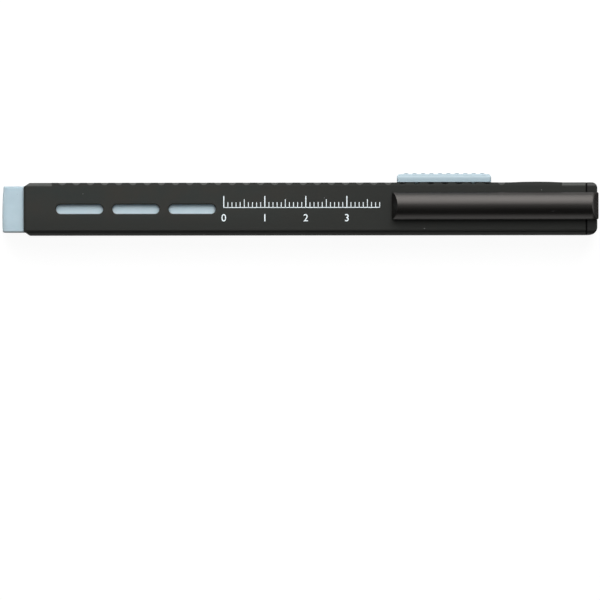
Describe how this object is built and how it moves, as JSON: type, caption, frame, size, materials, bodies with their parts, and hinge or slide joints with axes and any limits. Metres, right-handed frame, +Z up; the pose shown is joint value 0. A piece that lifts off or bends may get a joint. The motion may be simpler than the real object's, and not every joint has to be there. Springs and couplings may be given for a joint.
{
  "type": "pencil eraser stick",
  "caption": "Slim flat click-type eraser holder: a ribbed side button feeds a rectangular eraser out of a windowed barrel with a notched rail, end cap and pocket clip.",
  "frame": {"origin": "on the flat back face, half way along the whole stick and on the barrel's centre line", "axes": "+X from the eraser's tip to the tail, +Y to the narrow side with the button, +Z up out of the front face with the clip"},
  "size_m": [0.1454, 0.0151, 0.0114],
  "materials": {
    "barrel_black": "satin moulded",
    "cap_black": "satin moulded",
    "clip_black": "semi-gloss",
    "button_blue_grey": "semi-gloss",
    "carrier_plastic": "moulded",
    "leaf_blue_grey": "moulded, low sheen",
    "eraser_vinyl": "soft matt vinyl"
  },
  "bodies": {
    "holder": {"barrel": "barrel_black", "end_cap": "cap_black"},
    "slider": {"slider_button": "button_blue_grey", "eraser_carrier": "carrier_plastic", "click_spring": "leaf_blue_grey", "eraser": "eraser_vinyl"},
    "clip": {"clip": "clip_black"}
  },
  "joints": [
    {"name": "slider_slide", "type": "slide", "parent": "holder", "child": "slider", "axis": [-1, 0, 0], "range_m": [-0.00691, 0.08637], "deforming": ["click_spring"]},
    {"name": "clip_flex", "type": "hinge", "parent": "holder", "child": "clip", "pos_m": [0.0713, 0.00068, 0.003], "axis": [0, 1, 0], "range_deg": [0, 3.5], "stiffness_Nm_per_rad": 1.2, "springref_deg": -2.86}
  ]
}
